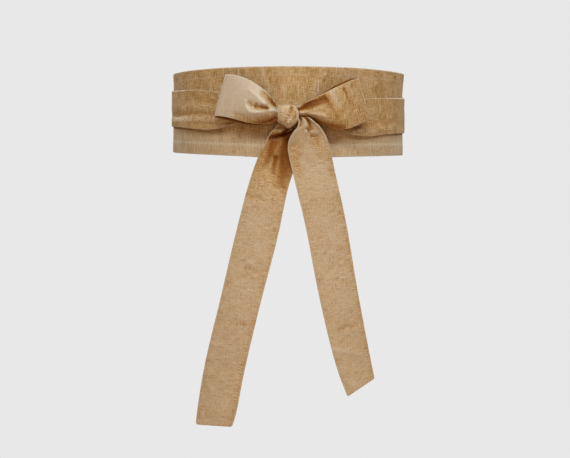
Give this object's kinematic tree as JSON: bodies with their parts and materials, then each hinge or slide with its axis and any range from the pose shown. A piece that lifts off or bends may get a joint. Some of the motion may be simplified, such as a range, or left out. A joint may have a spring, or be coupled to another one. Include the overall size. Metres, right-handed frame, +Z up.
{
  "type": "tied obi belt",
  "caption": "Wide wrap waist belt of slubbed silk, tapered to long ties that cross behind, come round to the front over the panel and tie in a bow with long hanging tails.",
  "frame": {"origin": "centre of the waist that the belt goes round, at half the height of the panel's middle", "axes": "+Z up along the wearer's body, -Y out of the wearer's front, where the bow is, +X to the right of someone who faces the bow"},
  "size_m": [0.2634, 0.2171, 0.398],
  "materials": {
    "panel_silk": "golden tan slubbed silk over a soft stiffener, low sheen",
    "tie_silk": "golden tan slubbed silk, low sheen"
  },
  "bodies": {
    "root": {"waist_panel": "panel_silk", "tie_round_left": "tie_silk", "tie_round_right": "tie_silk", "bow_loop_left": "tie_silk", "bow_loop_right": "tie_silk", "tail_left": "tie_silk", "tail_right": "tie_silk", "knot_wrap": "tie_silk"}
  },
  "joints": []
}
